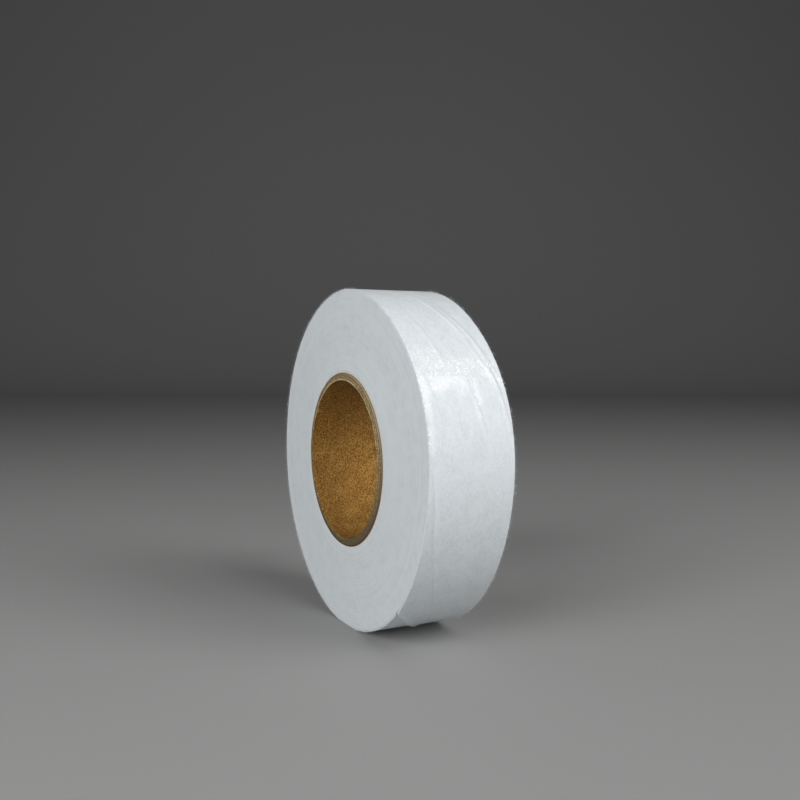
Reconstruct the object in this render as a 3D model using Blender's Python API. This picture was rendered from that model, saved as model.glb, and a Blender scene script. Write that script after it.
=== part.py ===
"""Roll of hem tape: white fusible web tape wound on a cardboard core, standing on its rim.

Metres, +Z up. The roll's axis lies along Y. The origin is on the surface that the roll stands on,
in the middle of the small flat that its weight has pressed into the rim. The side with the slanted
cut end of the tape low on the rim faces -Y and +X.
"""

import math

import bmesh
import bpy

# The core, a cardboard tube whose cut ends slope back towards the tape
CORE_BORE = 0.0374
CORE_WALL = 0.0018
CORE_LENGTH = 0.0223
CORE_CHAMFER = 0.00015
CORE_SLOPE = 0.00035
CORE_SLOPE_REACH = 0.0009
CORE_STEPS = 80

# The wound tape
ROLL_DIAMETER = 0.0800
TAPE_WIDTH = 0.0200
EDGE_WANDER = 0.00025
RIM_ROUNDING = 0.0006
CORE_LEAN = 0.0005
CORE_GAP = 0.0003
ROLL_STEPS = 100
OUTER_ROWS = 6

# The free end of the tape, cut on a slant and stuck down on the turn below
TURN_STEP = 0.0002
CUT_FRONT_DEG = -48.6
CUT_BACK_DEG = -89.0

# The flat that the roll stands on, as wide as this along the rim
FLAT_WIDTH = 0.0120

# Where the turns lie a little in or out of line on the two sides of the roll:
# share of the way from the core to the rim, then the depth of the front and of the back face
SIDE_BANDS = (
    (0.00, 0.00005, 0.00010),
    (0.06, 0.00000, 0.00012),
    (0.14, 0.00005, 0.00008),
    (0.40, 0.00000, 0.00014),
    (0.46, 0.00012, 0.00004),
    (0.74, 0.00004, 0.00000),
    (0.80, 0.00010, 0.00010),
    (0.94, 0.00000, 0.00006),
)

CORE_RADIUS = CORE_BORE / 2 + CORE_WALL
ROLL_RADIUS = ROLL_DIAMETER / 2
FIRST_TURN_RADIUS = CORE_RADIUS + CORE_GAP
HALF_WIDTH = TAPE_WIDTH / 2 + EDGE_WANDER
AXIS_HEIGHT = math.sqrt(ROLL_RADIUS**2 - (FLAT_WIDTH / 2) ** 2)

TAPE_WHITE = (0.80, 0.83, 0.85, 1.0)
CARD_BROWN = (0.42, 0.26, 0.11, 1.0)


def clear_scene():
    for old in list(bpy.data.objects):
        bpy.data.objects.remove(old)


def finish(name, colour, roughness):
    """A plain material for one sub-part."""
    material = bpy.data.materials.new(name)
    material.use_nodes = True
    shader = material.node_tree.nodes["Principled BSDF"]
    shader.inputs["Base Color"].default_value = colour
    shader.inputs["Roughness"].default_value = roughness
    shader.inputs["Metallic"].default_value = 0.0
    return material


def placed(name, shape, material, height):
    """Turns a bmesh into a smooth-shaded object whose own origin is on the roll's axis."""
    mesh = bpy.data.meshes.new(name)
    shape.to_mesh(mesh)
    shape.free()
    mesh.materials.append(material)
    mesh.shade_smooth()
    mesh.set_sharp_from_angle(angle=math.radians(35))
    part = bpy.data.objects.new(name, mesh)
    part.location.z = height
    bpy.context.scene.collection.objects.link(part)
    return part


def core_profile():
    """The core's cut wall as a loop of (radius, y), with a broken inner edge and a sloped outer one."""
    inner = CORE_BORE / 2
    outer = CORE_RADIUS
    end = CORE_LENGTH / 2
    cut = CORE_CHAMFER
    return (
        (inner, -end + cut),
        (inner + cut, -end),
        (outer - CORE_SLOPE_REACH, -end),
        (outer, -end + CORE_SLOPE),
        (outer, end - CORE_SLOPE),
        (outer - CORE_SLOPE_REACH, end),
        (inner + cut, end),
        (inner, end - cut),
    )


def build_core():
    """The cardboard tube: its wall's outline spun once round the roll's axis."""
    shape = bmesh.new()
    corners = [shape.verts.new((radius, y, 0.0)) for radius, y in core_profile()]
    edges = [shape.edges.new((corners[i - 1], corners[i])) for i in range(len(corners))]
    bmesh.ops.spin(
        shape,
        geom=corners + edges,
        cent=(0.0, 0.0, 0.0),
        axis=(0.0, 1.0, 0.0),
        angle=2 * math.pi,
        steps=CORE_STEPS,
    )
    bmesh.ops.remove_doubles(shape, verts=shape.verts, dist=1e-6)
    bmesh.ops.recalc_face_normals(shape, faces=shape.faces)
    return placed("core", shape, finish("cardboard", CARD_BROWN, 0.85), AXIS_HEIGHT)


def side_points(side):
    """One side of the wound tape from the core to the rim, as (radius, y, share of the outer turn).

    The turns nearest the core lie a little further towards -Y than those at the rim.
    """
    column = 1 if side < 0 else 2
    reach = ROLL_RADIUS - RIM_ROUNDING - FIRST_TURN_RADIUS
    points = []
    for row in SIDE_BANDS:
        radius = FIRST_TURN_RADIUS + row[0] * reach
        lean = CORE_LEAN * (1 - row[0]) ** 1.5
        points.append((radius, side * (HALF_WIDTH - row[column]) - lean, 0.0))
    return points


def rim_points(side):
    """The rounded edge between a side and the outer face, from the side outwards."""
    points = []
    for turn, outer_share in ((0, 0.0), (35, 0.4), (65, 1.0), (90, 1.0)):
        angle = math.radians(turn)
        radius = ROLL_RADIUS - RIM_ROUNDING * (1 - math.sin(angle))
        y = side * (HALF_WIDTH - RIM_ROUNDING * (1 - math.cos(angle)))
        points.append((radius, y, outer_share))
    return points


def tape_profile():
    """The wound tape's cut section as a loop of (radius, y, share of the outer turn)."""
    front = side_points(-1) + rim_points(-1)
    back = side_points(1) + rim_points(1)
    start = front[-1][1]
    gap = (back[-1][1] - start) / OUTER_ROWS
    outer = [(ROLL_RADIUS, start + gap * row, 1.0) for row in range(1, OUTER_ROWS)]
    return front + outer + back[::-1]


def cut_angle(y):
    """Where the slanted cut end crosses this place on the width, in radians from +X towards +Z."""
    share = min(1.0, max(0.0, (y + HALF_WIDTH) / (2 * HALF_WIDTH)))
    return math.radians(CUT_FRONT_DEG + share * (CUT_BACK_DEG - CUT_FRONT_DEG))


def settled(x, y, z):
    """Presses whatever lies lower than the flat up to it, with heights counted from the axis."""
    return (x, y, max(z, -AXIS_HEIGHT))


def tape_point(radius, y, outer_share, turned):
    """A point of the section after this share of a turn back from the cut end.

    The outer face loses one tape thickness on its way round, so it steps at the cut end. The slant
    of the cut fades towards the core, where the turns lie square.
    """
    slant = (radius - FIRST_TURN_RADIUS) / (ROLL_RADIUS - FIRST_TURN_RADIUS)
    square = cut_angle(0.0)
    angle = square + slant * (cut_angle(y) - square) + 2 * math.pi * turned
    wound = radius - TURN_STEP * outer_share * turned
    return settled(wound * math.cos(angle), y, wound * math.sin(angle))


def build_tape():
    """The wound tape: its section carried once round the axis from the cut end back to it."""
    profile = tape_profile()
    shape = bmesh.new()
    columns = []
    for step in range(ROLL_STEPS + 1):
        turned = step / ROLL_STEPS
        columns.append([shape.verts.new(tape_point(*point, turned)) for point in profile])
    columns.append(columns[0])
    for here, after in zip(columns, columns[1:]):
        for j in range(len(profile)):
            shape.faces.new((here[j - 1], here[j], after[j], after[j - 1]))
    bmesh.ops.remove_doubles(shape, verts=shape.verts, dist=1e-6)
    bmesh.ops.dissolve_degenerate(shape, edges=shape.edges, dist=1e-6)
    bmesh.ops.recalc_face_normals(shape, faces=shape.faces)
    return placed("wound_tape", shape, finish("tape_web", TAPE_WHITE, 0.45), AXIS_HEIGHT)


def main():
    clear_scene()
    build_core()
    build_tape()


main()
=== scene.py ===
"""Roll of hem tape: white fusible web wound tight on a cardboard core, standing on its rim.

Metres, +Z up, the roll's axis along Y. The sections follow the roll as it is put together: the
place it stands in, the core, the wound turns, the outer turn with its cut end, the loose fibres.
"""

import math

import bpy
import numpy as np
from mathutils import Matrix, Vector, noise


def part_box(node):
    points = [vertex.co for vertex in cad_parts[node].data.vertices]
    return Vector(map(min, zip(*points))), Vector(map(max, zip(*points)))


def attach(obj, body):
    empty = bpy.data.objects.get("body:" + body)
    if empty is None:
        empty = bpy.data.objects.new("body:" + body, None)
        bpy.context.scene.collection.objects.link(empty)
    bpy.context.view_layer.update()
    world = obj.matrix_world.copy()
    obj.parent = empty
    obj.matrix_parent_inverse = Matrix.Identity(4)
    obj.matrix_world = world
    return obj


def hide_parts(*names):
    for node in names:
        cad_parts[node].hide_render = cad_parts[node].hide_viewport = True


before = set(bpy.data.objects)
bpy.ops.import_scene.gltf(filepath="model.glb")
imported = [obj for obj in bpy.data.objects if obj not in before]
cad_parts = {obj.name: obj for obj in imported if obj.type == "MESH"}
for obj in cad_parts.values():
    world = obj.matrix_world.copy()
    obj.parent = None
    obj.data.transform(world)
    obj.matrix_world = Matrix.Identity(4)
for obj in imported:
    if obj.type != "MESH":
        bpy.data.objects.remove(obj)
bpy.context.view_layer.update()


# The place it stands in: a plain light grey table top, soft light from a window high on the right
# with one bright pane in it, from low on the right and from in front, and the camera at the
# photograph's angle, a little above the roll's axis.

core_low, core_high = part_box("core")
roll_axis = (core_low + core_high) / 2

TABLE_PAINT = (0.33, 0.33, 0.325, 1.0)
TABLE_ROUGHNESS = 0.7
TABLE_FRONT, TABLE_HALF_WIDTH = -5.0, 5.0
BACKDROP_DISTANCE, BACKDROP_BEND, BACKDROP_HEIGHT = 1.1, 0.5, 3.0
BACKDROP_STEPS = 16
STUDIO_AIR = (0.80, 0.81, 0.82, 1.0)
STUDIO_AIR_STRENGTH = 0.13

# Lights: name, direction from the roll, distance, width and height, and power in watts
LIGHTS = (
    ("window_light", (0.58, 0.34, 0.74), 0.70, (0.50, 0.46), 1.1),
    ("bright_pane", (0.615, 0.072, 0.785), 0.70, (0.10, 0.08), 0.32),
    ("low_light", (0.775, 0.450, 0.440), 0.70, (0.32, 0.58), 1.65),
    ("front_light", (0.45, -0.80, 0.40), 0.60, (0.40, 0.40), 2.7),
)

CAMERA_AZIMUTH = math.radians(63.388)
CAMERA_ELEVATION = math.radians(6.833)
CAMERA_DISTANCE = 0.213183
CAMERA_HEADING = math.radians(62.364)
CAMERA_PITCH = math.radians(3.142)
CAMERA_LENS, CAMERA_SENSOR = 39.663, 36.0
CAMERA_NEAR, CAMERA_FAR = 0.01, 20.0


def plain_material(name, colour, roughness):
    """A material with its Principled shader, ready for its texture nodes."""
    material = bpy.data.materials.new(name)
    material.use_nodes = True
    shader = material.node_tree.nodes["Principled BSDF"]
    shader.inputs["Base Color"].default_value = colour
    shader.inputs["Roughness"].default_value = roughness
    return material, shader


def light_box(name, direction, distance, size, watts):
    """A soft rectangular light that faces the roll from this direction."""
    lamp = bpy.data.lights.new(name, "AREA")
    lamp.shape = "RECTANGLE"
    lamp.size, lamp.size_y = size
    lamp.energy = watts
    box = bpy.data.objects.new(name, lamp)
    away = Vector(direction).normalized()
    box.location = roll_axis + away * distance
    box.rotation_mode = "QUATERNION"
    box.rotation_quaternion = away.to_track_quat("Z", "Y")
    bpy.context.scene.collection.objects.link(box)


def table_points():
    """The table top's section from in front of the roll to where it sweeps up far behind it."""
    section = [(TABLE_FRONT, 0.0), (BACKDROP_DISTANCE, 0.0)]
    for step in range(1, BACKDROP_STEPS + 1):
        turn = math.pi / 2 * step / BACKDROP_STEPS
        section.append((
            BACKDROP_DISTANCE + BACKDROP_BEND * math.sin(turn),
            BACKDROP_BEND * (1 - math.cos(turn)),
        ))
    section.append((BACKDROP_DISTANCE + BACKDROP_BEND, BACKDROP_HEIGHT))
    away = Vector((-math.sin(CAMERA_HEADING), math.cos(CAMERA_HEADING), 0.0))
    aside = Vector((away.y, -away.x, 0.0))
    sides = (-TABLE_HALF_WIDTH, TABLE_HALF_WIDTH)
    return [away * far + aside * side + Vector((0, 0, up)) for far, up in section for side in sides]


table_mesh = bpy.data.meshes.new("table_top")
table_corners = table_points()
table_mesh.from_pydata(table_corners, [], [
    (i, i + 1, i + 3, i + 2) for i in range(0, len(table_corners) - 2, 2)
])
table_mesh.shade_smooth()
table_top = bpy.data.objects.new("table_top", table_mesh)
bpy.context.scene.collection.objects.link(table_top)
table_mesh.materials.append(plain_material("table_paint", TABLE_PAINT, TABLE_ROUGHNESS)[0])

for light in LIGHTS:
    light_box(*light)

world = bpy.data.worlds.new("studio_air")
world.use_nodes = True
world.node_tree.nodes["Background"].inputs["Color"].default_value = STUDIO_AIR
world.node_tree.nodes["Background"].inputs["Strength"].default_value = STUDIO_AIR_STRENGTH
bpy.context.scene.world = world
bpy.context.scene.view_settings.view_transform = "Standard"

camera_data = bpy.data.cameras.new("camera")
camera_data.sensor_width = CAMERA_SENSOR
camera_data.lens = CAMERA_LENS
camera_data.clip_start, camera_data.clip_end = CAMERA_NEAR, CAMERA_FAR
camera = bpy.data.objects.new("camera", camera_data)
camera.location = roll_axis + CAMERA_DISTANCE * Vector((
    math.sin(CAMERA_AZIMUTH) * math.cos(CAMERA_ELEVATION),
    -math.cos(CAMERA_AZIMUTH) * math.cos(CAMERA_ELEVATION),
    math.sin(CAMERA_ELEVATION),
))
ahead = Vector((
    -math.sin(CAMERA_HEADING) * math.cos(CAMERA_PITCH),
    math.cos(CAMERA_HEADING) * math.cos(CAMERA_PITCH),
    -math.sin(CAMERA_PITCH),
))
camera.rotation_mode = "QUATERNION"
camera.rotation_quaternion = ahead.to_track_quat("-Z", "Y")
bpy.context.scene.collection.objects.link(camera)
bpy.context.scene.camera = camera


# The core: a short length of spirally wound cardboard tube, brown kraft plies outside and in with
# grey board between them, sawn square. The saw leaves the plies a little apart and frays the inner
# edge.

REST_HEIGHT = roll_axis.z
CORE_BORE_RADIUS = 0.0187
CORE_RADIUS = 0.0205
CORE_HALF_LENGTH = core_high.y
CORE_SLOPE, CORE_SLOPE_REACH = 0.00040, 0.0015
CORE_STEPS, CORE_ROWS = 320, 6
CORE_OUTSIDE_REACH, CORE_INSIDE_REACH = 0.0098, 0.0100
PLY_COUNT = 4
ROWS_A_PLY = 3
PLY_RELIEF = 0.00005
FRAY_DEPTH, FRAY_ELSEWHERE = 0.00022, 0.45
FRAY_FROM_DEG, FRAY_TO_DEG = 22.0, 62.0
INNER_EDGE_WANDER = 0.00012
OUTER_EDGE_IN, OUTER_EDGE_BACK = 0.00006, 0.00008
PLY_WAVES, FRAY_WAVES, EDGE_WAVES = 9, 45, 60
# The middle depth here is how far in the painted shade on the core's outer skin reaches, where the
# tape meets it.
SAWN_DEPTH, JOINT_SHADE_DEPTH, SKIN_DEPTH = 0.00042, 0.00010, 0.00003
SEAM_TURNS_A_METRE, SEAM_START = 26.0, 1.22
FLECK_DEPTH, CRUMB_DEPTH, SEAM_DEPTH = 0.00006, 0.00003, -0.00008
CARD_ROUGHNESS, CARD_SPECULAR = 0.88, 0.2

KRAFT_BROWN = (0.310, 0.150, 0.028, 1.0)
KRAFT_DARK = (0.120, 0.054, 0.011, 1.0)
KRAFT_PALE = (0.520, 0.330, 0.095, 1.0)
GREY_BOARD = (0.262, 0.208, 0.112, 1.0)
GREY_BOARD_DARK = (0.130, 0.094, 0.044, 1.0)
OUTER_PLY = (0.235, 0.130, 0.046, 1.0)
# Painted light: the outer ply's paler brown on the upper right, where the light falls
LIT_PLY = (0.400, 0.275, 0.120, 1.0)
SHADED_PLY = (0.105, 0.056, 0.020, 1.0)
FRAYED_EDGE = (0.600, 0.480, 0.280, 1.0)
# Painted shade for the lower half of the core's sawn end
PAINTED_SHADE_BOARD = (0.085, 0.075, 0.048, 1.0)

# How fine the cardboard's markings are, in marks a metre
CARD_CLOUDS, CARD_FLECKS, CARD_CRUMBS = 260.0, 2600.0, 2400.0
PLY_WAVER, EDGE_TEARS = 900.0, 420.0


def feed(tree, socket, value):
    """Joins a socket to the one given, or sets it to the plain value given."""
    if isinstance(value, bpy.types.NodeSocket):
        tree.links.new(value, socket)
    else:
        socket.default_value = value


def reckon(tree, operation, *values):
    """A Math node on these sockets or numbers."""
    node = tree.nodes.new("ShaderNodeMath")
    node.operation = operation
    for socket, value in zip(node.inputs, values):
        feed(tree, socket, value)
    return node.outputs[0]


def ramp(tree, factor, stops, smooth=False):
    """A Color Ramp over the stops given, each (place, colour or grey level)."""
    node = tree.nodes.new("ShaderNodeValToRGB")
    if smooth:
        node.color_ramp.interpolation = "EASE"
    line = node.color_ramp.elements
    while len(line) < len(stops):
        line.new(1.0)
    for element, (place, colour) in zip(line, stops):
        element.position = place
        element.color = colour if isinstance(colour, tuple) else (colour, colour, colour, 1.0)
    feed(tree, node.inputs["Fac"], factor)
    return node.outputs["Color"]


def blend(tree, factor, first, second, mode="MIX"):
    """A colour Mix node."""
    node = tree.nodes.new("ShaderNodeMix")
    node.data_type = "RGBA"
    node.blend_type = mode
    feed(tree, node.inputs["Factor"], factor)
    feed(tree, node.inputs["A"], first)
    feed(tree, node.inputs["B"], second)
    return node.outputs["Result"]


def grain(tree, vector, scale, detail=2.0, roughness=0.5, distortion=0.0):
    """A Noise texture's grey value, about 1/scale metres from one patch to the next."""
    node = tree.nodes.new("ShaderNodeTexNoise")
    feed(tree, node.inputs["Vector"], vector)
    node.inputs["Scale"].default_value = scale
    node.inputs["Detail"].default_value = detail
    node.inputs["Roughness"].default_value = roughness
    node.inputs["Distortion"].default_value = distortion
    return node.outputs["Fac"]


def relief(tree, height, depth, under=None):
    """A Bump node that raises its surface by height times this depth in metres."""
    node = tree.nodes.new("ShaderNodeBump")
    node.inputs["Distance"].default_value = depth
    feed(tree, node.inputs["Height"], height)
    if under is not None:
        feed(tree, node.inputs["Normal"], under)
    return node.outputs["Normal"]


def round_the_axis(tree):
    """The place, its distance from the roll's axis, its turn about it (-1 to 1) and along it."""
    place = tree.nodes.new("ShaderNodeTexCoord").outputs["Object"]
    parts = tree.nodes.new("ShaderNodeSeparateXYZ")
    feed(tree, parts.inputs[0], place)
    x, y = parts.outputs["X"], parts.outputs["Y"]
    z = reckon(tree, "SUBTRACT", parts.outputs["Z"], REST_HEIGHT)
    across = reckon(tree, "MULTIPLY", x, x)
    distance = reckon(tree, "SQRT", reckon(tree, "MULTIPLY_ADD", z, z, across))
    turn = reckon(tree, "DIVIDE", reckon(tree, "ARCTAN2", z, x), math.pi)
    return place, distance, turn, y


def ring_skin(name, loops, closed):
    """A mesh over closed loops of points. The last meets the first, or both have end caps."""
    count, size = loops.shape[:2]
    last = count if closed else count - 1
    faces = []
    for i in range(last):
        here, after = i * size, (i + 1) % count * size
        for j in range(size):
            k = (j + 1) % size
            faces.append((here + j, here + k, after + k, after + j))
    if not closed:
        half = size // 2
        far = (count - 1) * size
        for j in range(half - 1):
            faces.append((j + 1, j, size - 1 - j, size - 2 - j))
            faces.append((far + j, far + j + 1, far + size - 2 - j, far + size - 1 - j))
    mesh = bpy.data.meshes.new(name)
    mesh.from_pydata(loops.reshape(-1, 3).tolist(), [], faces)
    mesh.shade_smooth()
    piece = bpy.data.objects.new(name, mesh)
    bpy.context.scene.collection.objects.link(piece)
    return piece


def core_loops():
    """The sawn tube's wall as a loop of points for each step round the axis."""
    wall = CORE_RADIUS - CORE_BORE_RADIUS
    end_rows = ROWS_A_PLY * PLY_COUNT
    loops = np.zeros((CORE_STEPS, 2 * (end_rows + 1) + 2 * CORE_ROWS, 3))
    for i in range(CORE_STEPS):
        angle = 2 * math.pi * i / CORE_STEPS
        rim = Vector((math.cos(angle), 0.0, math.sin(angle)))
        loop = []
        for side in (-1, 1):
            end = []
            for row in range(end_rows + 1):
                share = row / end_rows
                radius = CORE_BORE_RADIUS + wall * share
                slope = max(0.0, 1 - (CORE_RADIUS - radius) / CORE_SLOPE_REACH)
                depth = CORE_SLOPE * slope + (PLY_RELIEF if row % ROWS_A_PLY == 0 else 0.0)
                waver = noise.noise(rim * PLY_WAVES + Vector((share * 5, side * 7, 0)))
                depth += PLY_RELIEF * waver
                if row == 0:
                    fray = noise.noise(rim * FRAY_WAVES + Vector((0, side * 3, 2))) + 0.15
                    torn = FRAY_FROM_DEG < math.degrees(angle) < FRAY_TO_DEG and side < 0
                    depth += FRAY_DEPTH * max(0.0, fray) * (1.0 if torn else FRAY_ELSEWHERE)
                    wander = noise.noise(rim * EDGE_WAVES + Vector((3, side, 0)))
                    radius += INNER_EDGE_WANDER * wander
                if row == end_rows:
                    radius -= OUTER_EDGE_IN
                    depth += OUTER_EDGE_BACK
                end.append((radius, side * (CORE_HALF_LENGTH - depth)))
            loop += end[::-1] if side > 0 else end
            if side < 0:
                outside = np.linspace(-CORE_OUTSIDE_REACH, CORE_OUTSIDE_REACH, CORE_ROWS)
                loop += [(CORE_RADIUS, y) for y in outside]
        inside = np.linspace(CORE_INSIDE_REACH, -CORE_INSIDE_REACH, CORE_ROWS)
        loop += [(CORE_BORE_RADIUS, y) for y in inside]
        for j, (radius, y) in enumerate(loop):
            loops[i, j] = (radius * math.cos(angle), y, REST_HEIGHT + radius * math.sin(angle))
    return loops


def cardboard():
    """Brown kraft with its flecks and seam, and the sawn ends with their plies, frayed, with
    painted shade below and painted light on the upper right.
    """
    material, shader = plain_material("cardboard", KRAFT_BROWN, CARD_ROUGHNESS)
    tree = material.node_tree
    place, distance, turn, along = round_the_axis(tree)

    cloud = grain(tree, place, CARD_CLOUDS, 3.0, 0.6)
    fleck = grain(tree, place, CARD_FLECKS, 3.0, 0.65)
    kraft = ramp(tree, cloud, ((0.36, KRAFT_DARK), (0.50, KRAFT_BROWN), (0.66, KRAFT_PALE)))
    kraft = blend(tree, 0.75, kraft, KRAFT_BROWN)
    dark_fleck = ramp(tree, fleck, ((0.40, 1.0), (0.47, 0.0)))
    pale_fleck = ramp(tree, fleck, ((0.53, 0.0), (0.62, 1.0)))
    kraft = blend(tree, reckon(tree, "MULTIPLY", dark_fleck, 0.85), kraft, KRAFT_DARK)
    kraft = blend(tree, reckon(tree, "MULTIPLY", pale_fleck, 0.65), kraft, KRAFT_PALE)

    seam_turn = reckon(tree, "MULTIPLY_ADD", along, SEAM_TURNS_A_METRE, turn)
    seam = reckon(tree, "FRACT", reckon(tree, "ADD", seam_turn, SEAM_START))
    seam_line = ramp(tree, seam, ((0.0, 0.0), (0.4965, 0.0), (0.5, 1.0), (0.5035, 0.0)))
    kraft = blend(tree, reckon(tree, "MULTIPLY", seam_line, 0.45), kraft, KRAFT_DARK)

    wall = CORE_RADIUS - CORE_BORE_RADIUS
    share = reckon(tree, "DIVIDE", reckon(tree, "SUBTRACT", distance, CORE_BORE_RADIUS), wall)
    waver = reckon(tree, "SUBTRACT", grain(tree, place, PLY_WAVER, 2.0), 0.5)
    share = reckon(tree, "MULTIPLY_ADD", waver, 0.12, share)
    board = ramp(tree, share, (
        (0.00, GREY_BOARD),
        (0.24, GREY_BOARD),
        (0.32, GREY_BOARD_DARK),
        (0.38, GREY_BOARD),
        (0.52, GREY_BOARD),
        (0.66, GREY_BOARD_DARK),
        (0.74, GREY_BOARD),
    ))
    crumb = grain(tree, place, CARD_CRUMBS, 3.0, 0.65)
    board = blend(tree, ramp(tree, crumb, ((0.38, 0.85), (0.50, 0.0))), board, GREY_BOARD_DARK)
    board = blend(tree, ramp(tree, crumb, ((0.54, 0.0), (0.62, 0.5))), board, FRAYED_EDGE)
    round_share = reckon(tree, "MULTIPLY_ADD", turn, 0.5, 0.5)
    # Painted shade: the sawn end is darker over its lower half and on the left, away from the
    # light.
    painted_shade_below = ramp(tree, round_share, (
        (0.0, 0.55), (0.08, 0.80), (0.38, 0.80), (0.54, 0.0), (0.84, 0.0), (1.0, 0.55)))
    board = blend(tree, painted_shade_below, board, PAINTED_SHADE_BOARD)
    # Painted light and shade on the sawn end's outer ply: paler on the upper right, where the light
    # falls, and darker below.
    outer_ply_light_and_shade = ramp(tree, round_share, (
        (0.0, OUTER_PLY), (0.12, SHADED_PLY), (0.42, SHADED_PLY), (0.50, OUTER_PLY),
        (0.57, LIT_PLY), (0.68, LIT_PLY), (0.76, OUTER_PLY), (1.0, OUTER_PLY)))
    board = blend(tree, ramp(tree, share, ((0.70, 0.0), (0.78, 1.0))), board, outer_ply_light_and_shade)
    frayed = ramp(tree, round_share, (
        (0.0, 0.03), (0.44, 0.03), (0.54, 0.24), (0.80, 0.20), (0.95, 0.03), (1.0, 0.03)))
    torn = ramp(tree, grain(tree, place, EDGE_TEARS, 3.0), ((0.30, 0.1), (0.66, 1.0)))
    torn = reckon(tree, "LESS_THAN", share, reckon(tree, "MULTIPLY", torn, frayed))
    board = blend(tree, torn, board, FRAYED_EDGE)

    from_middle = reckon(tree, "ABSOLUTE", along)
    sawn = reckon(tree, "GREATER_THAN", from_middle, CORE_HALF_LENGTH - SAWN_DEPTH)
    inside = reckon(tree, "GREATER_THAN", distance, CORE_BORE_RADIUS + SKIN_DEPTH)
    outside = reckon(tree, "LESS_THAN", distance, CORE_RADIUS - SKIN_DEPTH)
    cut_end = reckon(tree, "MULTIPLY", sawn, reckon(tree, "MULTIPLY", inside, outside))
    # Painted shade: the core's outer skin is darkened where it meets the tape.
    painted_joint_shade = reckon(tree, "GREATER_THAN", distance, CORE_RADIUS - JOINT_SHADE_DEPTH)
    kraft = blend(tree, reckon(tree, "MULTIPLY", painted_joint_shade, 0.7), kraft, KRAFT_DARK)
    feed(tree, shader.inputs["Base Color"], blend(tree, cut_end, kraft, board))

    felt = relief(tree, crumb, CRUMB_DEPTH, relief(tree, fleck, FLECK_DEPTH))
    feed(tree, shader.inputs["Normal"], relief(tree, seam_line, SEAM_DEPTH, felt))
    shader.inputs["Specular IOR Level"].default_value = CARD_SPECULAR
    return material


core = ring_skin("cardboard_core", core_loops(), closed=True)
core.data.set_sharp_from_angle(angle=math.radians(50))
core.data.materials.append(cardboard())
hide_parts("core")
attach(core, "root")


# The wound turns: one long strip of thin white web, wound tight on the core in a spiral. Its turns
# wander a little from side to side, which shows as faint rings on both sides of the roll.

ROLL_RADIUS = 0.0400
FIRST_TURN_RADIUS = 0.02030
PITCH = 0.0002
OUTER_TURNS = 1.03
LAST_TURN_RADIUS = ROLL_RADIUS - PITCH * OUTER_TURNS - PITCH / 2
STEPS_A_TURN = 120
TAPE_WIDTH = 0.0205
CORE_LEAN = 0.0005
TURN_JITTER = 0.00002
RIM_ROUNDING = 0.00012
CORE_DIP, CORE_DIP_REACH = 0.00016, 0.0007
LAST_TURN_END_DEG = -40.0
STRIP_SHARE, OUTER_TURN_SHARE = 0.98, 1.02
LEAST_DOWN = 0.3
LEAN_POWER = 1.5
EDGE_ROUGHNESS = 0.8
EDGE_LINE_DEPTH, FLUFF_DEPTH = 0.00005, 0.00004
WEB_GLOW_REACH = 0.0012

# How the turns sway to one side, as waves: height in millimetres at the rim, waves round the axis,
# waves from the core to the rim, and the phase in degrees
SWAYS = (
    (0.13, 4, 0.0, 10),
    (0.09, 3, 0.0, 30),
    (0.09, 5, 0.0, -10),
    (0.05, 1, 1.3, 200),
    (0.035, 2, 3.4, 75),
    (0.012, 1, 7.7, 310),
    (0.010, 3, 12.5, 120),
)

WEB_WHITE = (0.775, 0.830, 0.855, 1.0)
WEB_SHADE = (0.665, 0.722, 0.752, 1.0)

# How fine the markings on the cut edges are, in marks a metre or, for the rings, in marks a turn
EDGE_MIST, EDGE_LINES, EDGE_FLUFF = 420.0, 9000.0, 3000.0
EDGE_RINGS = 1.7


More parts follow.
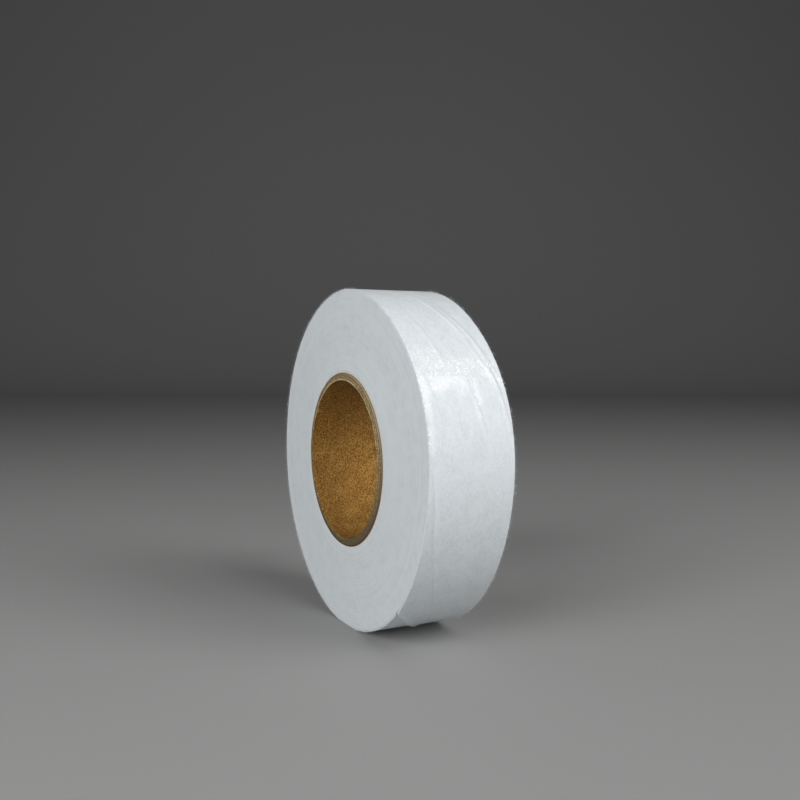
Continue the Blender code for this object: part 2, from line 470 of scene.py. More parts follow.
def winding_tree():
    """Geometry Nodes that wind a strip into a spiral about the roll's axis and press its flat."""
    tree = bpy.data.node_groups.new("wind_the_tape", "GeometryNodeTree")
    sizes = {}
    for name, kind in (
        ("First radius", "NodeSocketFloat"),
        ("Last radius", "NodeSocketFloat"),
        ("Pitch", "NodeSocketFloat"),
        ("Steps a turn", "NodeSocketInt"),
        ("Tape width", "NodeSocketFloat"),
        ("Last turn ends at", "NodeSocketFloat"),
        ("Jitter", "NodeSocketFloat"),
        ("Rim rounding", "NodeSocketFloat"),
        ("Core dip", "NodeSocketFloat"),
        ("Core lean", "NodeSocketFloat"),
        ("Axis height", "NodeSocketFloat"),
        ("Seed", "NodeSocketFloat"),
        ("Finish", "NodeSocketMaterial"),
    ):
        made = tree.interface.new_socket(name, in_out="INPUT", socket_type=kind)
        sizes[name] = made.identifier
    tree.interface.new_socket("Roll", in_out="OUTPUT", socket_type="NodeSocketGeometry")
    given = tree.nodes.new("NodeGroupInput").outputs
    first, last = given["First radius"], given["Last radius"]

    def sum_of(operation, *values):
        return reckon(tree, operation, *values)

    build_up = sum_of("SUBTRACT", last, first)
    turns = sum_of("DIVIDE", build_up, given["Pitch"])
    spiral = tree.nodes.new("GeometryNodeCurveSpiral")
    feed(tree, spiral.inputs["Resolution"], given["Steps a turn"])
    feed(tree, spiral.inputs["Rotations"], turns)
    feed(tree, spiral.inputs["Start Radius"], first)
    feed(tree, spiral.inputs["End Radius"], last)
    spiral.inputs["Height"].default_value = 0.0
    spiral.inputs["Reverse"].default_value = False

    wound_to = tree.nodes.new("ShaderNodeVectorMath")
    wound_to.operation = "LENGTH"
    feed(tree, wound_to.inputs[0], tree.nodes.new("GeometryNodeInputPosition").outputs[0])
    thickness = sum_of("SUBTRACT", wound_to.outputs["Value"], first)
    counted = tree.nodes.new("GeometryNodeStoreNamedAttribute")
    counted.data_type = "FLOAT"
    counted.domain = "POINT"
    counted.inputs["Name"].default_value = "turn_count"
    feed(tree, counted.inputs["Geometry"], spiral.outputs[0])
    feed(tree, counted.inputs["Value"], sum_of("DIVIDE", thickness, given["Pitch"]))

    swung = tree.nodes.new("GeometryNodeTransform")
    swing = tree.nodes.new("ShaderNodeCombineXYZ")
    feed(tree, swing.inputs["Z"], sum_of(
        "ADD", given["Last turn ends at"], sum_of("MULTIPLY", turns, 2 * math.pi)))
    feed(tree, swung.inputs["Geometry"], counted.outputs["Geometry"])
    feed(tree, swung.inputs["Rotation"], swing.outputs[0])
    upright = tree.nodes.new("GeometryNodeSetCurveNormal")
    upright.mode = "Z_UP"
    feed(tree, upright.inputs["Curve"], swung.outputs[0])
    strip = tree.nodes.new("GeometryNodeCurvePrimitiveQuadrilateral")
    feed(tree, strip.inputs["Width"], sum_of("MULTIPLY", given["Pitch"], STRIP_SHARE))
    feed(tree, strip.inputs["Height"], given["Tape width"])
    wind = tree.nodes.new("GeometryNodeCurveToMesh")
    feed(tree, wind.inputs["Curve"], upright.outputs[0])
    feed(tree, wind.inputs["Profile Curve"], strip.outputs[0])
    wind.inputs["Fill Caps"].default_value = True

    place = tree.nodes.new("GeometryNodeInputPosition").outputs[0]
    parts = tree.nodes.new("ShaderNodeSeparateXYZ")
    feed(tree, parts.inputs[0], place)
    x, y, side = parts.outputs
    radius = sum_of("SQRT", sum_of("MULTIPLY_ADD", x, x, sum_of("MULTIPLY", y, y)))
    angle = sum_of("ARCTAN2", y, x)
    build = sum_of("SUBTRACT", radius, first)
    share = sum_of("DIVIDE", build, build_up)

    count = tree.nodes.new("GeometryNodeInputNamedAttribute")
    count.data_type = "FLOAT"
    count.inputs["Name"].default_value = "turn_count"
    behind = sum_of("FRACT", sum_of("SUBTRACT", turns, count.outputs["Attribute"]))
    top = sum_of("SUBTRACT", STRIP_SHARE / 2, behind)
    top = sum_of("MULTIPLY_ADD", top, given["Pitch"], last)

    down = sum_of("DIVIDE", y, sum_of("MULTIPLY", radius, -1.0))
    down = sum_of("MAXIMUM", down, LEAST_DOWN)
    outer = sum_of("MULTIPLY_ADD", given["Pitch"], OUTER_TURN_SHARE, top)
    rim = sum_of("MINIMUM", sum_of("DIVIDE", given["Axis height"], down), outer)
    press = sum_of("DIVIDE", sum_of("SUBTRACT", rim, first), sum_of("SUBTRACT", outer, first))
    pressed = sum_of("MULTIPLY_ADD", build, press, first)
    stretch = sum_of("DIVIDE", pressed, radius)

    rounding = given["Rim rounding"]
    over = sum_of("SUBTRACT", radius, sum_of("SUBTRACT", top, rounding))
    over = sum_of("MINIMUM", sum_of("MAXIMUM", sum_of("DIVIDE", over, rounding), 0.0), 1.0)
    arc = sum_of("SQRT", sum_of("SUBTRACT", 1.0, sum_of("MULTIPLY", over, over)))
    inward = sum_of("MULTIPLY", sum_of("SUBTRACT", 1.0, arc), rounding)
    near_core = sum_of("SUBTRACT", 1.0, sum_of("DIVIDE", build, CORE_DIP_REACH))
    near_core = sum_of("MAXIMUM", near_core, 0.0)
    inward = sum_of("MULTIPLY_ADD", near_core, given["Core dip"], inward)
    sideways = sum_of("SUBTRACT", side, sum_of("MULTIPLY", inward, sum_of("SIGN", side)))
    lean = sum_of("MAXIMUM", sum_of("SUBTRACT", 1.0, share), 0.0)
    lean = sum_of("POWER", lean, LEAN_POWER)
    sideways = sum_of("SUBTRACT", sideways, sum_of("MULTIPLY", lean, given["Core lean"]))

    for height, round_waves, out_waves, phase in SWAYS:
        turn = sum_of("MULTIPLY_ADD", angle, float(round_waves), math.radians(phase))
        turn = sum_of("MULTIPLY_ADD", share, 2 * math.pi * out_waves, turn)
        wave = sum_of("MULTIPLY", sum_of("SINE", turn), share)
        sideways = sum_of("MULTIPLY_ADD", wave, height / 1000, sideways)

    quiver = tree.nodes.new("ShaderNodeTexNoise")
    quiver.noise_dimensions = "1D"
    feed(tree, quiver.inputs["W"], sum_of(
        "MULTIPLY_ADD", count.outputs["Attribute"], 1.9, given["Seed"]))
    quiver.inputs["Scale"].default_value = 1.0
    quiver.inputs["Detail"].default_value = 1.0
    shake = sum_of("MULTIPLY", sum_of("SUBTRACT", quiver.outputs["Fac"], 0.5), given["Jitter"])
    sideways = sum_of("MULTIPLY_ADD", shake, 2.0, sideways)

    stood = tree.nodes.new("ShaderNodeCombineXYZ")
    feed(tree, stood.inputs["X"], sum_of("MULTIPLY", x, stretch))
    feed(tree, stood.inputs["Y"], sideways)
    feed(tree, stood.inputs["Z"], sum_of("MULTIPLY_ADD", y, stretch, given["Axis height"]))
    stand = tree.nodes.new("GeometryNodeSetPosition")
    feed(tree, stand.inputs["Geometry"], wind.outputs[0])
    feed(tree, stand.inputs["Position"], stood.outputs[0])

    turned_out = tree.nodes.new("GeometryNodeFlipFaces")
    feed(tree, turned_out.inputs[0], stand.outputs[0])
    realized = tree.nodes.new("GeometryNodeRealizeInstances")
    feed(tree, realized.inputs[0], turned_out.outputs[0])
    coated = tree.nodes.new("GeometryNodeSetMaterial")
    feed(tree, coated.inputs["Geometry"], realized.outputs[0])
    feed(tree, coated.inputs["Material"], given["Finish"])
    feed(tree, tree.nodes.new("NodeGroupOutput").inputs["Roll"], coated.outputs[0])
    return tree, sizes


def grown(name, tree, sizes, values, carrier=None):
    """Runs a Geometry Nodes tree with these inputs and keeps what it makes as a plain mesh."""
    seed_mesh = carrier or bpy.data.meshes.new(name + "_start")
    start = bpy.data.objects.new(name + "_start", seed_mesh)
    bpy.context.scene.collection.objects.link(start)
    work = start.modifiers.new("grow", "NODES")
    work.node_group = tree
    for key, value in values.items():
        work[sizes[key]] = value
    ready = start.evaluated_get(bpy.context.evaluated_depsgraph_get())
    mesh = bpy.data.meshes.new_from_object(ready)
    mesh.name = name
    piece = bpy.data.objects.new(name, mesh)
    bpy.context.scene.collection.objects.link(piece)
    bpy.data.objects.remove(start)
    if mesh.materials[0] is None:
        mesh.materials.pop(index=0)
    return piece


def web_edges():
    """The side of the roll: the cut edges of the turns of white web, matt, with faint rings."""
    material, shader = plain_material("web_edges", WEB_WHITE, EDGE_ROUGHNESS)
    tree = material.node_tree
    place, distance, turn, _ = round_the_axis(tree)
    count = tree.nodes.new("ShaderNodeAttribute")
    count.attribute_name = "turn_count"
    rings = tree.nodes.new("ShaderNodeTexNoise")
    rings.noise_dimensions = "1D"
    feed(tree, rings.inputs["W"], count.outputs["Fac"])
    rings.inputs["Scale"].default_value = EDGE_RINGS
    rings.inputs["Detail"].default_value = 3.0
    mist = grain(tree, place, EDGE_MIST, 3.0, 0.6)
    tone = reckon(tree, "MULTIPLY", rings.outputs["Fac"], 0.5)
    tone = reckon(tree, "MULTIPLY_ADD", mist, 0.5, tone)
    white = ramp(tree, tone, ((0.22, WEB_SHADE), (0.55, WEB_WHITE)))
    feed(tree, shader.inputs["Base Color"], white)

    fine = tree.nodes.new("ShaderNodeTexNoise")
    fine.noise_dimensions = "1D"
    lines = reckon(tree, "MULTIPLY", distance, EDGE_LINES)
    feed(tree, fine.inputs["W"], reckon(tree, "MULTIPLY_ADD", turn, 3.0, lines))
    fine.inputs["Scale"].default_value = 1.0
    fine.inputs["Detail"].default_value = 2.0
    fluff = grain(tree, place, EDGE_FLUFF, 3.0, 0.6)
    bump = relief(tree, fine.outputs["Fac"], EDGE_LINE_DEPTH)
    feed(tree, shader.inputs["Normal"], relief(tree, fluff, FLUFF_DEPTH, bump))
    shader.inputs["Subsurface Weight"].default_value = 0.25
    shader.inputs["Subsurface Radius"].default_value = (1.0, 1.0, 1.0)
    shader.inputs["Subsurface Scale"].default_value = WEB_GLOW_REACH
    shader.inputs["Sheen Weight"].default_value = 0.15
    shader.inputs["Sheen Roughness"].default_value = 0.5
    return material


winding, winding_sizes = winding_tree()
edges_finish = web_edges()
wound_turns = grown("wound_turns", winding, winding_sizes, {
    "First radius": FIRST_TURN_RADIUS + PITCH / 2,
    "Last radius": LAST_TURN_RADIUS,
    "Pitch": PITCH,
    "Steps a turn": STEPS_A_TURN,
    "Tape width": TAPE_WIDTH,
    "Last turn ends at": math.radians(LAST_TURN_END_DEG),
    "Jitter": TURN_JITTER,
    "Rim rounding": RIM_ROUNDING,
    "Core dip": CORE_DIP,
    "Core lean": CORE_LEAN,
    "Axis height": REST_HEIGHT,
    "Seed": 4.0,
    "Finish": edges_finish,
})
wound_turns.data.shade_smooth()
wound_turns.data.set_sharp_from_angle(angle=math.radians(30))
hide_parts("wound_tape")
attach(wound_turns, "root")


# The outer turn and its cut end: the last turn of the same web, drawn tight over the roll and cut
# on a slant low on the rim, where it is stuck down. Tension has drawn slanting wrinkles in it, and
# its face has a satin gloss.

OUTER_THICKNESS = 0.00019
OUTER_HALF_WIDTH = 0.01025
CUT_FRONT_DEG, CUT_BACK_DEG = -48.6, -89.0
OUTER_STEPS, OUTER_ROWS = 700, 56
ROW_CROWDING = 0.86
END_CURL, END_CURL_SHARE = 0.00024, 0.005
END_TIGHTNESS = 0.02
BROAD_WAVE, BROAD_WAVE_HEIGHT = 0.006, 0.00005
FINE_WAVE, FINE_WAVE_HEIGHT = 0.0018, 0.000025
EDGE_TUCK, EDGE_THINNING = 0.00017, 0.85
FLOOR_CLEARANCE = 0.00002
# The grey of a painted shadow along the cut end, on the turn below it
CUT_SHADOW_GREY = (0.090, 0.100, 0.110, 1.0)
# The white of the folds: partly the folded web's own whiteness, partly painted highlight for their
# glints
CREASE_GLINT_WHITE = (0.990, 0.995, 1.000, 1.0)
BEND_START = TAPE_WIDTH / 2 - RIM_ROUNDING
BEND_RADIUS = RIM_ROUNDING + PITCH
SATIN_ROUGHNESS, GLAZE_ROUGHNESS = 0.45, 0.06
LAID_TURN = math.radians(12.0)
FOLD_DEPTH, LAID_DEPTH, FELT_DEPTH = 0.00002, 0.00007, 0.00005
GLAZE_FOLD_DEPTH, GLAZE_WAVE_DEPTH = 0.00004, 0.00001
SATIN_GLOW_REACH = 0.001

# How fine the markings on the face of the web are, in marks a metre
LAID_FIBRES, SATIN_CLOUDS, SATIN_SPECKS, SATIN_FELT = 700.0, 330.0, 2200.0, 2600.0
FOLDS, FOLD_BENDS, FOLD_BREAKS = 900.0, 420.0, 840.0
FOLD_BEND_REACH, FOLD_SHARPNESS, FOLD_GLINT_WHITENESS = 0.0014, 13.0, 0.85
GLAZE_WAVES = 900.0

# The rumpled band: the length round the roll, in millimetres, that its ramps run over, how far its
# edges drift, and how fine that drift is, in waves a metre
BAND_SPAN, BAND_DRIFT, BAND_WAVES = 60.0, 9.0, 160.0

# Wrinkles: where each starts and ends (degrees round the axis from +X towards +Z, then millimetres
# along it), how wide and how high it is, in millimetres. A hollow has a height below nought.
WRINKLES = (
    (72, 0.6, 41, 6.0, 0.45, 0.16),
    (66, 3.0, 30, 9.2, 0.40, 0.13),
    (58, -5.5, 33, -2.6, 0.50, 0.08),
    (47, 4.2, 24, 8.8, 0.35, 0.12),
    (45, 6.6, 8, 10.0, 0.40, 0.14),
    (34, -9.0, 14, -6.4, 0.35, 0.08),
    (31, 0.6, 12, 3.4, 0.35, 0.11),
    (17, 3.0, -8, 7.6, 0.45, 0.07),
    (2, -8.6, -34, -4.2, 0.50, 0.05),
    (84, -4.0, 63, 0.5, 0.45, 0.07),
    (67, -4.0, 39, -2.9, 0.25, 0.06),
    (28, 1.9, 14, 3.2, 0.28, 0.07),
    (6, -9.4, -26, -7.1, 0.40, -0.13),
    (-14, -8.3, -40, -4.2, 0.40, -0.15),
    (-30, -6.2, -60, 0.6, 0.45, -0.16),
)


def wrinkle_height(turned, along):
    """How far the wrinkles lift the web at these places, in metres."""
    around = turned * ROLL_RADIUS * 1000
    across = along * 1000
    lift = np.zeros_like(around)
    for start, low, end, high, width, height in WRINKLES:
        head = np.array((math.radians(start) * ROLL_RADIUS * 1000, low))
        way = np.array((math.radians(end) * ROLL_RADIUS * 1000, high)) - head
        share = ((around - head[0]) * way[0] + (across - head[1]) * way[1]) / way.dot(way)
        share = np.clip(share, 0.0, 1.0)
        gap = np.hypot(around - head[0] - share * way[0], across - head[1] - share * way[1])
        taper = np.sin(np.pi * np.clip(share, 0.02, 0.98)) ** 0.6
        lift += height * taper * np.exp(-((gap / width) ** 2))
    return lift / 1000


def pressed_flat(radius, turned, share):
    """The radius once the roll's weight has pressed the flat that it rests on."""
    down = np.maximum(-np.sin(turned), LEAST_DOWN)
    outside = ROLL_RADIUS - PITCH * (share % 1.0)
    rim = np.minimum(REST_HEIGHT / down, outside)
    press = (rim - FIRST_TURN_RADIUS) / (outside - FIRST_TURN_RADIUS)
    return FIRST_TURN_RADIUS + (radius - FIRST_TURN_RADIUS) * press


def swayed(turned):
    """How far the last turns lie to one side, the same as the turns below them."""
    aside = np.zeros_like(turned)
    for height, round_waves, out_waves, phase in SWAYS:
        wave = round_waves * turned + 2 * math.pi * out_waves + math.radians(phase)
        aside += height / 1000 * np.sin(wave)
    return aside


def soft_waves(turned, along, pitch, seed):
    """Gentle unevenness of the web from -1 to 1, about one wave in each pitch."""
    waves = np.zeros_like(turned)
    flat = waves.reshape(-1)
    for i, (angle, y) in enumerate(zip(turned.reshape(-1), along.reshape(-1))):
        spot = Vector((math.cos(angle) * ROLL_RADIUS, y, math.sin(angle) * ROLL_RADIUS)) / pitch
        flat[i] = noise.noise(spot + Vector((seed, 0, 0)))
    return waves


def outer_turn_piece():
    """The last turn as a thin closed sheet, with a UV map in metres along and across the web."""
    share = np.linspace(0.0, OUTER_TURNS, OUTER_STEPS + 1)[:, None]
    across = np.sin(np.linspace(-0.5, 0.5, OUTER_ROWS + 1) * math.pi * ROW_CROWDING)
    across = (across / across[-1] * OUTER_HALF_WIDTH)[None, :]
    slant = (across + OUTER_HALF_WIDTH) / (2 * OUTER_HALF_WIDTH)
    cut = np.radians(CUT_FRONT_DEG + slant * (CUT_BACK_DEG - CUT_FRONT_DEG))
    turned = cut + 2 * math.pi * share
    flat_place = np.broadcast_to(across, turned.shape)

    bend = np.maximum(np.abs(flat_place) - BEND_START, 0.0) / BEND_RADIUS
    level = np.minimum(np.abs(flat_place), BEND_START)
    tight = np.minimum(1.0, np.minimum(share, OUTER_TURNS - share) / END_TIGHTNESS)
    lift = wrinkle_height((turned + math.pi) % (2 * math.pi) - math.pi, flat_place)
    lift = lift + BROAD_WAVE_HEIGHT * soft_waves(turned, flat_place, BROAD_WAVE, 1.0)
    lift = lift + FINE_WAVE_HEIGHT * soft_waves(turned, flat_place, FINE_WAVE, 5.0)
    lift = lift * tight * np.cos(np.minimum(bend * 1.2, 1.4))
    lift = lift + END_CURL * np.exp(-((share / END_CURL_SHARE) ** 2))
    aside = swayed(turned)
    thinned = (bend / bend.max()) ** 2
    sheets = []
    for depth in (0.0, OUTER_THICKNESS):
        reach = BEND_RADIUS - EDGE_TUCK * thinned + lift - depth * (1 - EDGE_THINNING * thinned)
        settled = ROLL_RADIUS - PITCH * share - BEND_RADIUS + reach * np.cos(bend)
        settled = pressed_flat(settled, turned, share)
        sheets.append(np.stack((
            settled * np.cos(turned),
            np.sign(flat_place) * (level + reach * np.sin(bend)) + aside,
            np.maximum(REST_HEIGHT + settled * np.sin(turned), FLOOR_CLEARANCE),
        ), axis=-1))
    loops = np.concatenate((sheets[0], sheets[1][:, ::-1]), axis=1)
    piece = ring_skin("outer_turn", loops, closed=False)

    metres = np.stack((turned * ROLL_RADIUS, flat_place), axis=-1)
    metres = np.concatenate((metres, metres[:, ::-1]), axis=1).reshape(-1, 2)
    corners = np.zeros(len(piece.data.loops), dtype=np.int32)
    piece.data.loops.foreach_get("vertex_index", corners)
    layer = piece.data.uv_layers.new(name="web_metres")
    layer.data.foreach_set("uv", metres[corners].astype(np.float32).reshape(-1))
    return piece


def satin_web():
    """The face of the web: white with fine laid fibres, satin, and glossy where it is rumpled, its
    folds whitened partly by painted highlight.
    """
    material, shader = plain_material("satin_web", WEB_WHITE, SATIN_ROUGHNESS)
    tree = material.node_tree
    place = tree.nodes.new("ShaderNodeTexCoord").outputs["Object"]
    flat = tree.nodes.new("ShaderNodeUVMap")
    flat.uv_map = "web_metres"
    lay = tree.nodes.new("ShaderNodeMapping")
    lay.inputs["Scale"].default_value = (1.0, 5.0, 1.0)
    lay.inputs["Rotation"].default_value = (0.0, 0.0, LAID_TURN)
    feed(tree, lay.inputs["Vector"], flat.outputs["UV"])
    fibres = grain(tree, lay.outputs[0], LAID_FIBRES, 4.0, 0.65, 0.6)
    cloud = grain(tree, place, SATIN_CLOUDS, 4.0, 0.6)
    speck = grain(tree, place, SATIN_SPECKS, 2.0, 0.6)
    tone = reckon(tree, "MULTIPLY_ADD", fibres, 0.4, reckon(tree, "MULTIPLY", cloud, 0.28))
    tone = reckon(tree, "MULTIPLY_ADD", speck, 0.32, tone)
    white = ramp(tree, tone, ((0.38, WEB_SHADE), (0.54, WEB_WHITE)))

    turned = tree.nodes.new("ShaderNodeSeparateXYZ")
    feed(tree, turned.inputs[0], flat.outputs["UV"])
    slant = math.radians(CUT_BACK_DEG - CUT_FRONT_DEG) / (2 * OUTER_HALF_WIDTH)
    middle = math.radians(CUT_FRONT_DEG + CUT_BACK_DEG) / 2
    after_cut = reckon(tree, "DIVIDE", turned.outputs["X"], ROLL_RADIUS)
    after_cut = reckon(tree, "MULTIPLY_ADD", turned.outputs["Y"], -slant, after_cut)
    after_cut = reckon(tree, "DIVIDE", reckon(tree, "SUBTRACT", after_cut, middle), 2 * math.pi)
    # Painted shadow: a thin grey line on the turn just below the cut end.
    painted_cut_shadow = ramp(tree, reckon(tree, "FRACT", after_cut), (
        (0.0, 0.0), (0.9972, 0.0), (0.9984, 0.9), (1.0, 0.9)))
    white = blend(tree, painted_cut_shadow, white, CUT_SHADOW_GREY)

    round_mm = reckon(tree, "MULTIPLY", turned.outputs["X"], 1000.0)
    across_mm = reckon(tree, "MULTIPLY", turned.outputs["Y"], 1000.0)
    drift = reckon(tree, "SUBTRACT", grain(tree, place, BAND_WAVES, 1.0), 0.5)
    drifted = reckon(tree, "MULTIPLY_ADD", drift, BAND_DRIFT, round_mm)
    up_the_rim = reckon(tree, "DIVIDE", drifted, BAND_SPAN)
    band = ramp(tree, up_the_rim, (
        (0.0, 0.02), (0.29, 0.02), (0.335, 1.0), (0.415, 1.0), (0.46, 0.1), (1.0, 0.05)))
    rim_side = ramp(tree, reckon(tree, "MULTIPLY_ADD", across_mm, -0.05, 0.0), (
        (0.0, 0.0), (0.41, 0.0), (0.455, 1.0), (1.0, 1.0)))
    rim_band = ramp(tree, up_the_rim, (
        (0.0, 0.0), (0.05, 0.1), (0.12, 1.0), (0.43, 1.0), (0.50, 0.1), (1.0, 0.0)))
    rumpled = reckon(tree, "MAXIMUM", band, reckon(tree, "MULTIPLY", rim_side, rim_band))
    crease_side = ramp(tree, reckon(tree, "MULTIPLY_ADD", across_mm, 0.05, 0.5), (
        (0.0, 0.0), (0.59, 0.0), (0.63, 1.0), (0.66, 1.0), (0.70, 0.0)))
    crease_band = ramp(tree, up_the_rim, (
        (0.0, 0.0), (0.16, 0.0), (0.20, 0.8), (0.36, 1.0), (0.48, 0.0)))
    rumpled = reckon(tree, "MAXIMUM", rumpled, reckon(tree, "MULTIPLY", crease_side, crease_band))

    bent = tree.nodes.new("ShaderNodeTexNoise")
    bent.inputs["Scale"].default_value = FOLD_BENDS
    feed(tree, bent.inputs["Vector"], place)
    shifted = blend(tree, FOLD_BEND_REACH, place, bent.outputs["Color"], "ADD")
    wave = reckon(tree, "SUBTRACT", grain(tree, shifted, FOLDS, 1.0), 0.5)
    wave = reckon(tree, "MULTIPLY", wave, FOLD_SHARPNESS)
    curl = reckon(tree, "SUBTRACT", 1.0, reckon(tree, "MULTIPLY", wave, wave))
    curl = reckon(tree, "MAXIMUM", curl, 0.0)
    broken = ramp(tree, grain(tree, place, FOLD_BREAKS, 1.0), ((0.45, 0.0), (0.53, 1.0)))
    folds = reckon(tree, "MULTIPLY", curl, reckon(tree, "MULTIPLY", rumpled, broken))
    # The folds are painted whiter, partly because folded web is whiter, partly as painted highlight
    # standing in for the glints on them.
    folds_painted_white = reckon(tree, "MULTIPLY", folds, FOLD_GLINT_WHITENESS)
    feed(tree, shader.inputs["Base Color"], blend(tree, folds_painted_white, white, CREASE_GLINT_WHITE))

    bump = relief(tree, fibres, LAID_DEPTH, relief(tree, folds, FOLD_DEPTH))
    bump = relief(tree, grain(tree, place, SATIN_FELT, 3.0, 0.6), FELT_DEPTH, bump)
    feed(tree, shader.inputs["Normal"], bump)
    gloss = relief(tree, folds, GLAZE_FOLD_DEPTH)
    gloss = relief(tree, grain(tree, place, GLAZE_WAVES, 2.0, 0.5), GLAZE_WAVE_DEPTH, gloss)
    feed(tree, shader.inputs["Coat Normal"], gloss)
    edge_mm = reckon(tree, "ABSOLUTE", across_mm)
    unbent = ramp(tree, reckon(tree, "MULTIPLY", edge_mm, 0.05), (
        (0.0, 0.9), (0.485, 0.9), (0.500, 0.0), (1.0, 0.0)))
    glazed = reckon(tree, "MINIMUM", reckon(tree, "MULTIPLY", rumpled, 1.4), 1.0)
    feed(tree, shader.inputs["Coat Weight"], reckon(tree, "MULTIPLY", unbent, glazed))
    shader.inputs["Coat Roughness"].default_value = GLAZE_ROUGHNESS
    shader.inputs["Subsurface Weight"].default_value = 0.2
    shader.inputs["Subsurface Radius"].default_value = (1.0, 1.0, 1.0)
    shader.inputs["Subsurface Scale"].default_value = SATIN_GLOW_REACH
    return material


outer_turn = outer_turn_piece()
outer_turn.data.set_sharp_from_angle(angle=math.radians(60))
outer_turn.data.materials.append(satin_web())
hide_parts("wound_tape")
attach(outer_turn, "root")


# The loose fibres: short ends of the web's own fibres that stand out where the tape was slit and
# cut, along both rims of the roll and along the cut end. They are part of the web, and soft.

FIBRE_RADIUS = 0.000016
FIBRE_LENGTH = 0.0007
FIBRES_A_SQUARE_METRE = 24.0e6
FIBRE_SIDES, FIBRE_BENDS = 3, 4
FIBRE_LEAN = 1.1
FIBRE_SHORTEST, FIBRE_LONGEST = 0.3, 1.2
FIBRE_ROUGHNESS = 0.5
FIBRE_MARKS = 1500.0
FRINGE_STEPS, CUT_FRINGE_STEPS = 240, 29
FRINGE_DEPTH, FRINGE_SKIN, FRINGE_INSET = 0.0004, 0.00008, 0.00020
CUT_FRINGE_REACH = 0.0001


def fringe():
    """The narrow bands that the fibres stand on: one along each rim and one along the cut end."""
    points, faces = [], []

    def band(inner, outer):
        first = len(points)
        for pair in zip(inner, outer):
            points.extend(pair)
        faces.extend((i, i + 2, i + 3, i + 1) for i in range(first, len(points) - 2, 2))

    share = np.linspace(0.0, 1.0, FRINGE_STEPS + 1)
    for side in (-1, 1):
        cut = math.radians(CUT_FRONT_DEG if side < 0 else CUT_BACK_DEG)
        turned = cut + 2 * math.pi * share
        aside = swayed(turned)
        rows = []
        for depth, inset in ((FRINGE_DEPTH, 0.0), (FRINGE_SKIN, FRINGE_INSET)):
            radius = pressed_flat(ROLL_RADIUS - PITCH * share - depth, turned, share)
            along = side * (OUTER_HALF_WIDTH - inset) + aside
            rows.append(np.stack((
                radius * np.cos(turned), along, REST_HEIGHT + radius * np.sin(turned),
            ), axis=-1).tolist())
        band(*(rows if side > 0 else rows[::-1]))
    across = np.linspace(-OUTER_HALF_WIDTH, OUTER_HALF_WIDTH, CUT_FRINGE_STEPS + 1)
    slant = (across + OUTER_HALF_WIDTH) / (2 * OUTER_HALF_WIDTH)
    cut = np.radians(CUT_FRONT_DEG + slant * (CUT_BACK_DEG - CUT_FRONT_DEG))
    rows = []
    for reach in (-CUT_FRINGE_REACH, CUT_FRINGE_REACH):
        radius = pressed_flat(np.full_like(cut, ROLL_RADIUS + reach), cut, np.zeros_like(cut))
        rows.append(np.stack((
            radius * np.cos(cut), across, REST_HEIGHT + radius * np.sin(cut)), axis=-1).tolist())
    band(*rows)
    mesh = bpy.data.meshes.new("fringe")
    mesh.from_pydata(points, [], faces)
    return mesh


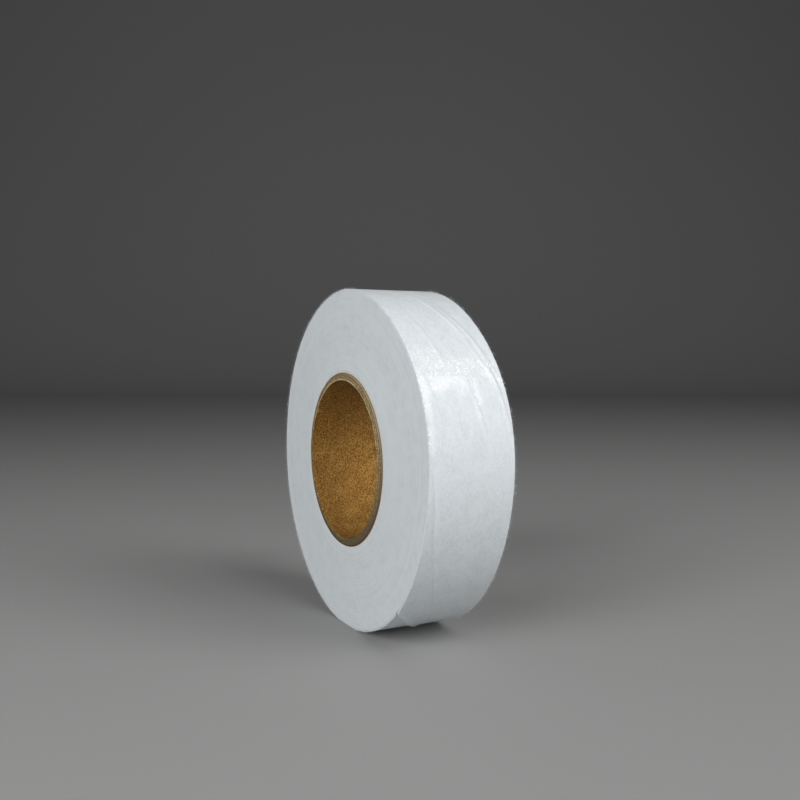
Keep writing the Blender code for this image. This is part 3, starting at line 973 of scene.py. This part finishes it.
def fibre_tree():
    """Geometry Nodes that stand short curved fibres at random on the faces they are given."""
    tree = bpy.data.node_groups.new("stand_the_fibres", "GeometryNodeTree")
    tree.interface.new_socket("Fringe", in_out="INPUT", socket_type="NodeSocketGeometry")
    sizes = {}
    for name, kind in (
        ("Fibres a square metre", "NodeSocketFloat"),
        ("Length", "NodeSocketFloat"),
        ("Radius", "NodeSocketFloat"),
        ("Sides", "NodeSocketInt"),
        ("Bends", "NodeSocketInt"),
        ("Lowest root", "NodeSocketFloat"),
        ("Seed", "NodeSocketInt"),
        ("Finish", "NodeSocketMaterial"),
    ):
        made = tree.interface.new_socket(name, in_out="INPUT", socket_type=kind)
        sizes[name] = made.identifier
    tree.interface.new_socket("Fibres", in_out="OUTPUT", socket_type="NodeSocketGeometry")
    given = tree.nodes.new("NodeGroupInput").outputs

    strewn = tree.nodes.new("GeometryNodeDistributePointsOnFaces")
    feed(tree, strewn.inputs["Mesh"], given["Fringe"])
    parts = tree.nodes.new("ShaderNodeSeparateXYZ")
    feed(tree, parts.inputs[0], tree.nodes.new("GeometryNodeInputPosition").outputs[0])
    clear = reckon(tree, "GREATER_THAN", parts.outputs["Z"], given["Lowest root"])
    feed(tree, strewn.inputs["Selection"], clear)
    feed(tree, strewn.inputs["Density"], given["Fibres a square metre"])
    feed(tree, strewn.inputs["Seed"], given["Seed"])

    bow = tree.nodes.new("GeometryNodeCurveQuadraticBezier")
    feed(tree, bow.inputs["Resolution"], given["Bends"])
    for socket, aside, up in (("Start", 0.0, -0.1), ("Middle", 0.05, 0.5), ("End", 0.55, 0.8)):
        spot = tree.nodes.new("ShaderNodeCombineXYZ")
        feed(tree, spot.inputs["X"], reckon(tree, "MULTIPLY", given["Length"], aside))
        feed(tree, spot.inputs["Z"], reckon(tree, "MULTIPLY", given["Length"], up))
        feed(tree, bow.inputs[socket], spot.outputs[0])
    round_section = tree.nodes.new("GeometryNodeCurvePrimitiveCircle")
    feed(tree, round_section.inputs["Resolution"], given["Sides"])
    feed(tree, round_section.inputs["Radius"], given["Radius"])
    fibre = tree.nodes.new("GeometryNodeCurveToMesh")
    feed(tree, fibre.inputs["Curve"], bow.outputs[0])
    feed(tree, fibre.inputs["Profile Curve"], round_section.outputs[0])
    fibre.inputs["Fill Caps"].default_value = True

    lean = tree.nodes.new("FunctionNodeRandomValue")
    lean.data_type = "FLOAT_VECTOR"
    lean.inputs["Min"].default_value = (-FIBRE_LEAN, -FIBRE_LEAN, -math.pi)
    lean.inputs["Max"].default_value = (FIBRE_LEAN, FIBRE_LEAN, math.pi)
    feed(tree, lean.inputs["Seed"], given["Seed"])
    leaning = tree.nodes.new("FunctionNodeEulerToRotation")
    feed(tree, leaning.inputs[0], lean.outputs[0])
    facing = tree.nodes.new("FunctionNodeRotateRotation")
    facing.rotation_space = "LOCAL"
    feed(tree, facing.inputs[0], strewn.outputs["Rotation"])
    feed(tree, facing.inputs[1], leaning.outputs[0])
    spread = tree.nodes.new("FunctionNodeRandomValue")
    spread.data_type = "FLOAT"
    spread.inputs[2].default_value = FIBRE_SHORTEST
    spread.inputs[3].default_value = FIBRE_LONGEST
    feed(tree, spread.inputs["Seed"], reckon(tree, "ADD", given["Seed"], 1.0))

    planted = tree.nodes.new("GeometryNodeInstanceOnPoints")
    feed(tree, planted.inputs["Points"], strewn.outputs["Points"])
    feed(tree, planted.inputs["Instance"], fibre.outputs[0])
    feed(tree, planted.inputs["Rotation"], facing.outputs[0])
    feed(tree, planted.inputs["Scale"], spread.outputs[1])
    realized = tree.nodes.new("GeometryNodeRealizeInstances")
    feed(tree, realized.inputs[0], planted.outputs[0])
    coated = tree.nodes.new("GeometryNodeSetMaterial")
    feed(tree, coated.inputs["Geometry"], realized.outputs[0])
    feed(tree, coated.inputs["Material"], given["Finish"])
    feed(tree, tree.nodes.new("NodeGroupOutput").inputs["Fibres"], coated.outputs[0])
    return tree, sizes


def fibre_finish():
    """Bare white fibre, a little uneven in tone, with a soft sheen."""
    material, shader = plain_material("loose_fibre", WEB_WHITE, FIBRE_ROUGHNESS)
    tree = material.node_tree
    place = tree.nodes.new("ShaderNodeTexCoord").outputs["Object"]
    tone = grain(tree, place, FIBRE_MARKS, 2.0)
    white = ramp(tree, tone, ((0.35, WEB_SHADE), (0.6, WEB_WHITE)))
    feed(tree, shader.inputs["Base Color"], white)
    shader.inputs["Sheen Weight"].default_value = 0.2
    return material


standing, standing_sizes = fibre_tree()
loose_fibres = grown("loose_fibres", standing, standing_sizes, {
    "Fibres a square metre": FIBRES_A_SQUARE_METRE,
    "Length": FIBRE_LENGTH,
    "Radius": FIBRE_RADIUS,
    "Sides": FIBRE_SIDES,
    "Bends": FIBRE_BENDS,
    "Lowest root": 1.3 * FIBRE_LENGTH,
    "Seed": 7,
    "Finish": fibre_finish(),
}, carrier=fringe())
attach(loose_fibres, "root")
